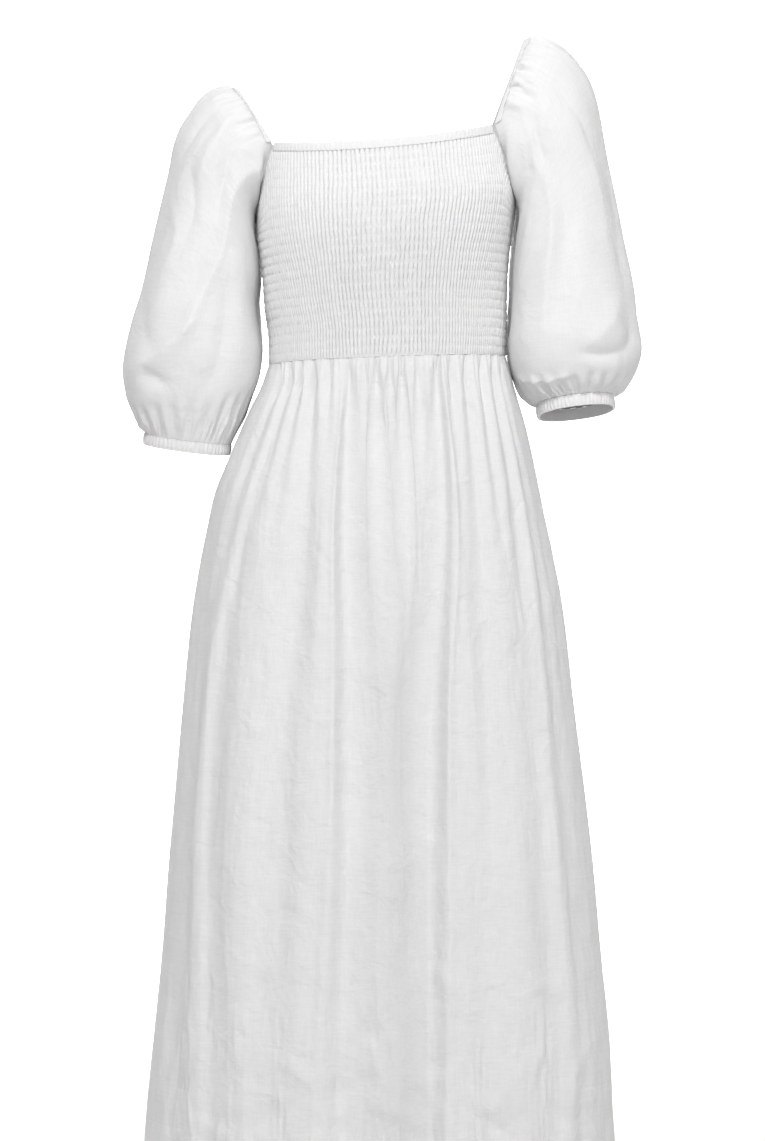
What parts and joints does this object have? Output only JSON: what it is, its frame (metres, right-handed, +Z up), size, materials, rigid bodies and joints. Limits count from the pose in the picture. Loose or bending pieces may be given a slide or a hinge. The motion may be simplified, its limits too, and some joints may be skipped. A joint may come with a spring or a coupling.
{
  "type": "white midi dress",
  "caption": "Worn white midi dress: smocked bodice with a square neckline, elbow-length puff sleeves on elastic cuffs, gathered skirt.",
  "frame": {"origin": "between the two shoulders at the height of the shoulder line, where the wearer holds the dress up", "axes": "+Z up, +X to the wearer's left (the right of the picture), the front faces -Y"},
  "size_m": [0.5648, 0.3726, 1.2423],
  "materials": {
    "cloth": "matte"
  },
  "bodies": {
    "root": {"bodice_front": "cloth", "bodice_back": "cloth", "neck_casing_front": "cloth", "neck_casing_back": "cloth", "skirt_front": "cloth", "skirt_back": "cloth", "sleeve_left": "cloth", "sleeve_right": "cloth", "shoulder_casing_left": "cloth", "shoulder_casing_right": "cloth", "cuff_left": "cloth", "cuff_right": "cloth"}
  },
  "joints": []
}
